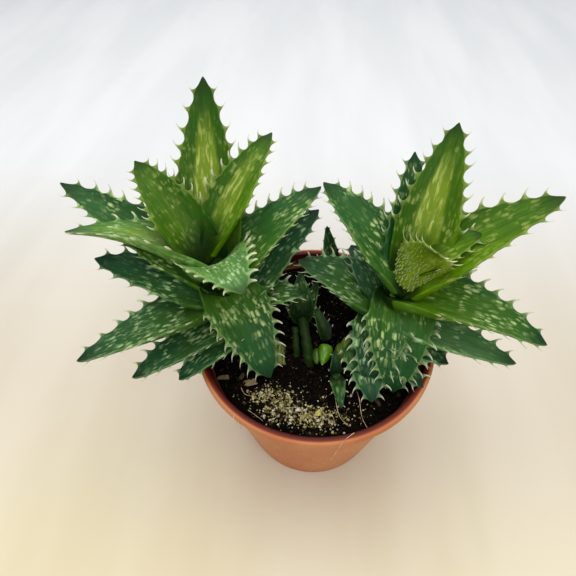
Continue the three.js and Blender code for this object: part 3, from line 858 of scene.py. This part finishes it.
# %% [markdown]
# ## Soil, grit and fibres
# The pot is filled with dark damp peat. A flat disc would look poured, so the body of the soil is a profile that is
# spun round the pot's axis, and its top is pushed up and down by waves and noise.

# %% Spin the soil
POT_HEIGHT = 80
RIM_RADIUS = 52.5
BASE_RADIUS = 35
WALL = 1.4
LIP_WIDTH = 2.2
SOIL_GAP = 0.45
SOIL_FLOOR = WALL + 0.3


def wall_at(z):
    return BASE_RADIUS + (RIM_RADIUS - LIP_WIDTH - BASE_RADIUS) * z / POT_HEIGHT


def soil_height(x, y):
    wave = math.sin(x * 0.23 + 1) * math.cos(y * 0.19 - 0.6) + 0.6 * math.sin(x * 0.51 - y * 0.43)
    reach = math.hypot(x - 2, y + 30) / 17
    return SOIL_LEVEL + 1.1 * wave - 1.5 * math.exp(-(reach ** 2))


def soil_top(x, y):
    lump = noise.noise(Vector((x * 0.35, y * 0.35, 3))) * 0.7 + noise.noise(Vector((x, y, 9))) * 0.45
    fade = min(1, max(0, (wall_at(SOIL_LEVEL) - WALL - 1 - math.hypot(x, y)) / 4))
    level = SOIL_LEVEL + (soil_height(x, y) - SOIL_LEVEL) * fade
    return level + lump * (0.4 + 0.6 * fade)


def spun(profile, steps):
    """The closed shape of a profile, of distances from the axis and heights."""
    bm = bmesh.new()
    verts = [bm.verts.new(Vector((r, 0, z)) * MM) for r, z in profile]
    geometry = [bm.edges.new(pair) for pair in zip(verts, verts[1:])] + verts
    bmesh.ops.spin(bm, geom=geometry, cent=(0, 0, 0), axis=(0, 0, 1), angle=math.tau, steps=steps, use_merge=True)
    bmesh.ops.remove_doubles(bm, verts=bm.verts[:], dist=1e-6)
    bmesh.ops.recalc_face_normals(bm, faces=bm.faces[:])
    return bm


inside_top = wall_at(SOIL_LEVEL) - WALL - SOIL_GAP
soil_rings = [(inside_top * k / 56, SOIL_LEVEL) for k in range(55, -1, -1)]
soil_profile = [(0, SOIL_FLOOR), (wall_at(WALL) - WALL - SOIL_GAP, SOIL_FLOOR), (inside_top, SOIL_LEVEL)] + soil_rings
bm = spun(soil_profile, steps=144)
for vert in bm.verts:
    x, y, z = vert.co / MM
    if z > SOIL_LEVEL - 1:
        vert.co.z = soil_top(x, y) * MM

peat = Recipe("damp_peat")
grain = peat.noise(peat.where(), (900,) * 3, 5.0, 0.65)
lump = peat.noise(peat.where(), (210,) * 3, 3.0)
dark = peat.mix(peat.ramp(grain, 0.35, 0.7), "030202", "120c08")
peat.set(Base_Color=peat.mix(peat.ramp(lump, 0.5, 0.75, 0.0, 0.5), dark, "1e160e"), Roughness=0.95)
peat.set(Specular_IOR_Level=0.05)
peat.bumps(grain, 0.9, 0.0008)
finished("peat_body", bm, peat.coat, ["soil"])

# %% [markdown]
# Crumbs of peat lie everywhere, and pale grit has gathered in a few drifts in front of the stems. Each grain is a
# ball with its points pushed in and out and its own shade. There are hundreds, so each has only twenty faces.

# %% Scatter crumbs and grit
SCATTER_REACH = 47
WALL_CLEAR = 1.2


def broken_ball(bm, at, size, draw, layer, shade):
    turn = Quaternion((draw.gauss(0, 1), draw.gauss(0, 1), draw.gauss(0, 1), draw.gauss(0, 1))).normalized()
    ball = bmesh.ops.create_icosphere(bm, subdivisions=1, radius=1)["verts"]
    stretch = Vector((draw.uniform(0.7, 1.3), draw.uniform(0.7, 1.1), draw.uniform(0.5, 0.9)))
    for vert in ball:
        co = turn @ (vert.co * draw.uniform(0.75, 1.2) * stretch)
        vert.co = (at + co * size) * MM
        vert[layer] = shade


def littered(count, spread, sizes, palette, seed):
    """Broken balls on the soil. sizes are the least, the most and the usual."""
    draw = random.Random(seed)
    bm = bmesh.new()
    layer = bm.verts.layers.float_color.new("shade")
    made = 0
    while made < count:
        x, y = spread(draw)
        if math.hypot(x, y) > inside_top - WALL_CLEAR:
            continue
        size = draw.triangular(*sizes)
        broken_ball(bm, Vector((x, y, soil_top(x, y) + size * 0.25)), size, draw, layer, draw.choice(palette))
        made += 1
    return bm


def anywhere(draw):
    reach, angle = SCATTER_REACH * math.sqrt(draw.random()), draw.uniform(0, math.tau)
    return reach * math.cos(angle), reach * math.sin(angle)


DRIFTS = ((-16, -30, 5, 3, 6), (-11, -34, 5, 3, 4), (-1, -37, 4.5, 2.5, 4), (6, -37.5, 4, 3, 2), (-8, -39, 9, 3, 2),
          (12, -33, 8, 5, 1))


def in_front(draw):
    x, y, wide, deep, _ = draw.choices(DRIFTS, weights=[drift[4] for drift in DRIFTS])[0]
    return draw.gauss(x, wide), draw.gauss(y, deep)


def litter_coat(name, bump):
    coat = Recipe(name)
    grain = coat.noise(coat.where(), (1400,) * 3, 3.0, 0.6)
    coat.set(Base_Color=coat.mix(coat.ramp(grain, 0.3, 0.75, 0.0, 0.45), coat.layer("shade")["Color"], "241b10"))
    coat.set(Roughness=0.9, Specular_IOR_Level=0.1)
    coat.bumps(grain, bump, 0.0003)
    return coat.coat


def shades(codes):
    return [linear(code) for code in codes.split()]


CRUMB_SHADES = shades("050403 090605 100b08 1e160f 040303 35291b")
GRIT_SHADES = shades("d8cea4 c4b97a b3a968 e6dfca 9c9156 857a44 6a5f38 b8ab86 4a4228")
for name, count, spread, sizes, palette, seed, coat, bump in (
        ("peat_crumbs", 1700, anywhere, (0.3, 1.4, 0.5), CRUMB_SHADES, 11, "crumb_brown", 0.8),
        ("pale_grit", 1500, in_front, (0.13, 0.85, 0.25), GRIT_SHADES, 12, "grit_cream", 0.5),
        ("grit_dust", 260, anywhere, (0.12, 0.5, 0.2), GRIT_SHADES, 13, "dust_cream", 0.4)):
    grains = littered(count, spread, sizes, palette, seed)
    finished(name, grains, litter_coat(coat, bump), smooth=False)

# %% [markdown]
# Loose root fibres lie on the peat and hang over the rim. A fibre is a thin tube along a smooth line through a few
# points, so it keeps its thickness at every bend.

# %% Lay the root fibres
FIBRES = [
    ((9.7, -27.6, 73.4), (10.1, -31.7, 74), (11, -35.6, 73.6), (12.2, -38.5, 74), (14.1, -40.4, 74.2),
     (15.3, -41.6, 74.5)),
    ((18.6, -25.9, 74.5), (19.5, -30.3, 75), (20, -35.4, 74.6), (20.8, -39.5, 75.4), (23.2, -44.8, 76.5)),
    ((16.6, -46.6, 80.2), (13.6, -49.2, 80.5), (11.6, -51.4, 79.8), (10.6, -52.1, 76), (9.4, -51.9, 69),
     (8.8, -50.4, 61)),
    ((-25.6, -37, 73.4), (-22.2, -39.3, 74), (-18.9, -41.3, 73.4)),
    ((-30, -27, 73.4), (-27.6, -30.5, 74.2), (-23.5, -31.4, 73.8), (-21.5, -34.5, 73.4)),
    ((-29.4, -42.6, 80.1), (-29.6, -44.1, 80.5), (-28.4, -45.3, 78.6), (-26.9, -45.2, 74)),
    ((3.4, -33.6, 73.6), (5.2, -36.9, 74.4), (8.6, -37.4, 73.8), (9.5, -39.6, 73.4)),
]


def through(points):
    """A smooth line through all the points, as a function of t from 0 to 1."""
    points = [Vector(p) for p in points]
    ends = [points[0] * 2 - points[1]] + points + [points[-1] * 2 - points[-2]]

    def at(t):
        k = min(int(t * (len(points) - 1)), len(points) - 2)
        u = t * (len(points) - 1) - k
        a, b, c, d = ends[k:k + 4]
        return 0.5 * (b * 2 + (c - a) * u + (a * 2 - b * 5 + c * 4 - d) * u * u + (b * 3 - a - c * 3 + d) * u ** 3)

    return at


straw = Recipe("root_fibre")
tone = straw.noise(straw.where(), (500,) * 3, 3.0)
straw.set(Base_Color=straw.mix(straw.ramp(tone, 0.35, 0.65), "b09068", "ead2a4"), Roughness=0.6)
bm = joined([tube_bmesh(through(line), lambda t, angle: 0.12 - 0.05 * t, steps=30, sides=6) for line in FIBRES])
finished("root_fibres", bm, straw.coat)

# %% [markdown]
# A few flat chips of bark lie on top. A chip is a box that is cut into small faces, made uneven by noise and rounded.

# %% Lay the chips of bark
CHIPS = [(-26.5, -24, 5.6, 3, 20), (-38.5, -22.5, 4.6, 1.8, 8), (-30.5, -21, 3.2, 1.6, 70), (27, -30, 3.4, 1.6, 120),
         (-5.3, -34.5, 2.2, 1.5, 40), (2.9, -35.2, 2.6, 2, 80), (-20, -44, 2.6, 1.4, 10), (33, -20, 3, 1.5, 60)]
CHIP_SHADES = shades("a8946a 7d6c4e 5c4a34 4a3a28 d9d2bd c9c070 6e5c40 4a3b2a")
draw = random.Random(21)
chip_parts = []
for (x, y, long, wide, turn), shade in zip(CHIPS, CHIP_SHADES):
    lie = Matrix.Translation(Vector((x, y, soil_top(x, y) + 0.55)) * MM) @ Matrix.Rotation(math.radians(turn), 4, "Z")
    lie = lie @ Matrix.Rotation(draw.uniform(-0.25, 0.25), 4, "X") @ Matrix.Rotation(draw.uniform(-0.2, 0.2), 4, "Y")
    part = bmesh.new()
    layer = part.verts.layers.float_color.new("shade")
    bmesh.ops.create_cube(part, size=1)
    bmesh.ops.subdivide_edges(part, edges=part.edges[:], cuts=3, use_grid_fill=True)
    for vert in part.verts:
        rough = 1 + 0.4 * noise.noise(vert.co * 2.3 + Vector((x, y, 0)))
        vert.co = lie @ (Vector((vert.co.x * long, vert.co.y * wide, vert.co.z * 0.9)) * rough * MM)
        vert[layer] = shade
    chip_parts.append(part)
finished("bark_chips", joined(chip_parts), litter_coat("bark_brown", 0.9), rounds=1)

# %% [markdown]
# ## The pot
# The pot is formed from one thin sheet of warm plastic: a leaning wall, a narrow rolled rim and a flat floor. As in
# the soil, one closed profile is spun round the axis, with small arcs where the sheet bends.

# %% Spin the pot
LIP_DEPTH = 3.2
LIP_ROUND = 0.7
RIM_ROUND = 0.9
FLOOR_ROUND = 1.2
lip_foot = POT_HEIGHT - LIP_DEPTH


def arc(cx, cz, radius, start, end, steps):
    for k in range(steps + 1):
        angle = math.radians(start + (end - start) * k / steps)
        yield cx + radius * math.cos(angle), cz + radius * math.sin(angle)


top_inside = wall_at(POT_HEIGHT) - WALL
pot_profile = [(0, 0), (BASE_RADIUS - 4, 0)]
pot_profile += arc(BASE_RADIUS - 1, 1, 1, -90, -12, 5)
pot_profile += [(wall_at(z), z) for z in (6, 20, 40, 60, 70, lip_foot - 1.2, lip_foot - 0.3)]
pot_profile += arc(RIM_RADIUS - LIP_ROUND, lip_foot + LIP_ROUND, LIP_ROUND, -80, 0, 4)
pot_profile += arc(RIM_RADIUS - RIM_ROUND, POT_HEIGHT - RIM_ROUND, RIM_ROUND, 0, 90, 5)
pot_profile += arc(top_inside + RIM_ROUND, POT_HEIGHT - RIM_ROUND, RIM_ROUND, 90, 180, 5)
pot_profile += [(wall_at(z) - WALL, z) for z in (lip_foot, 70, 50, 25, 4)]
pot_profile += arc(wall_at(WALL) - WALL - FLOOR_ROUND, WALL + FLOOR_ROUND, FLOOR_ROUND, 0, -90, 4)
pot_bmesh = spun(pot_profile + [(0, WALL)], steps=128)
print(len(pot_profile) + 1, "points in the profile")

# %% [markdown]
# The plastic is dyed right through and a little glossy. Broad noise gives its haze, stretched noise its scuffs, and
# the inner part of the rim and the wall inside it are painted a deep dark red, as painted shade.

# %% Mix the plastic
plastic = Recipe("terracotta_plastic")
where = plastic.where()
haze = plastic.noise(where, (40, 40, 18), 4.0)
scuff = plastic.noise(where, (700, 700, 90), 3.0, 0.7)
clay = plastic.mix(plastic.ramp(haze, 0.35, 0.7), "b86d42", "c37f52")
clay = plastic.mix(plastic.ramp(scuff, 0.62, 0.8, 0.0, 0.3), clay, "dba070")
flat = plastic.scaled(where, (1, 1, 0))
reach = plastic.add("ShaderNodeVectorMath", {"operation": "LENGTH"}, i0=flat).outputs["Value"]
# Painted shade: darker red on the inner part of the rim top, darkest on the wall inside it above the soil.
rim = plastic.mix(plastic.ramp(reach, 0.0514, 0.0498), "8c3016", "4a1008")
shaded_inside = plastic.times(plastic.ramp(reach, 0.0516, 0.0508), plastic.ramp(plastic.axes(where)[2], 0.07, 0.0765))
plastic.set(Base_Color=plastic.mix(shaded_inside, clay, rim), Roughness=plastic.ramp(scuff, 0.3, 0.8, 0.42, 0.58))
plastic.set(Subsurface_Weight=0.1, Subsurface_Scale=0.0015, Subsurface_Radius=(1.0, 0.45, 0.25))
plastic.set(Specular_IOR_Level=0.22)
plastic.bumps(scuff, 0.2, 0.0002)
print("plastic:", len(plastic.tree.nodes), "nodes")

# %% [markdown]
# Six drain holes go through the floor. Holes can be built ring by ring, but taking cylinders away with a Boolean is
# simpler, and once it has been applied the pot is one closed mesh again.

# %% Drill the drain holes
def drilled(bm, cutters):
    """The closed shape bm with the shapes of cutters taken away."""
    holders = [as_object("drill", shape) for shape in (bm, cutters)]
    cut = holders[0].modifiers.new("cut", "BOOLEAN")
    cut.object, cut.operation, cut.solver = holders[1], "DIFFERENCE", "EXACT"
    result = bmesh.new()
    result.from_object(holders[0], bpy.context.evaluated_depsgraph_get())
    for mesh in [holder.data for holder in holders]:
        bpy.data.meshes.remove(mesh)
    return result


DRAIN_HOLES, DRAIN_RADIUS, DRAIN_RING = 6, 4, 22
CUTTER_DEPTH, CUTTER_MIDDLE = 4, 0.5
cutters = bmesh.new()
for k in range(DRAIN_HOLES):
    turn = math.tau * k / DRAIN_HOLES
    at = Vector((DRAIN_RING * math.cos(turn), DRAIN_RING * math.sin(turn), CUTTER_MIDDLE)) * MM
    bmesh.ops.create_cone(cutters, cap_ends=True, segments=32, radius1=DRAIN_RADIUS * MM, radius2=DRAIN_RADIUS * MM,
                          depth=CUTTER_DEPTH * MM, matrix=Matrix.Translation(at))
finished("nursery_pot", drilled(pot_bmesh, cutters), plastic.coat, ["pot"])

# %% [markdown]
# ## Table and light
# The pot stands on a plain pale table, cream near the viewer and painted whiter towards the window, as painted window
# light. It is there for the picture alone, so it goes to the stage.

# %% Lay the table
bpy.ops.mesh.primitive_plane_add(size=6)
table = bpy.context.object
table.name = "table"
board = Recipe("pale_table")
where = board.where()
grain = board.ramp(board.noise(where, (14, 2.5, 1), 4.0), 0.35, 0.65)
front, middle, window_lit_back = (board.mix(grain, *pair) for pair in (("e6d9b4", "eee3c6"), ("d8cdba", "e0d6c6"),
                                                            ("e8eaee", "f0f1f5")))
away = board.axes(where)[1]
cream = board.mix(board.ramp(away, -0.13, 0.03), front, middle)
# Painted light: the table is painted whiter towards the window behind the pot.
board.set(Base_Color=board.mix(board.ramp(away, 0.0, 0.28), cream, window_lit_back), Roughness=0.75)
table.data.materials.append(board.coat)
print(table.name, "is", round(table.dimensions.x, 1), "m wide")

# %% [markdown]
# Daylight comes from all round and a little more from behind. A sun would cut hard shadows, so a pale sky and two
# large round lights do it.

# %% Light the scene
LIT_POINT = Vector((0, 0, 0.08))
world = bpy.data.worlds.new("daylight")
scene.world = world
world.use_nodes = True
sky = world.node_tree.nodes["Background"].inputs
sky["Color"].default_value = (0.9, 0.95, 1.0, 1.0)
sky["Strength"].default_value = 0.5
for name, at, size, power, colour in (("window", (-0.12, 0.3, 1.15), 1.3, 9, (1.0, 0.97, 0.88)),
                                      ("room", (0.2, -0.75, 1.0), 1.0, 5, (1.0, 0.96, 0.88))):
    lamp = bpy.data.lights.new(name, "AREA")
    lamp.shape, lamp.size, lamp.energy, lamp.color = "DISK", size, power, colour
    holder = bpy.data.objects.new(name, lamp)
    scene.collection.objects.link(holder)
    holder.location = at
    holder.rotation_euler = (LIT_POINT - holder.location).to_track_quat("-Z", "Y").to_euler()
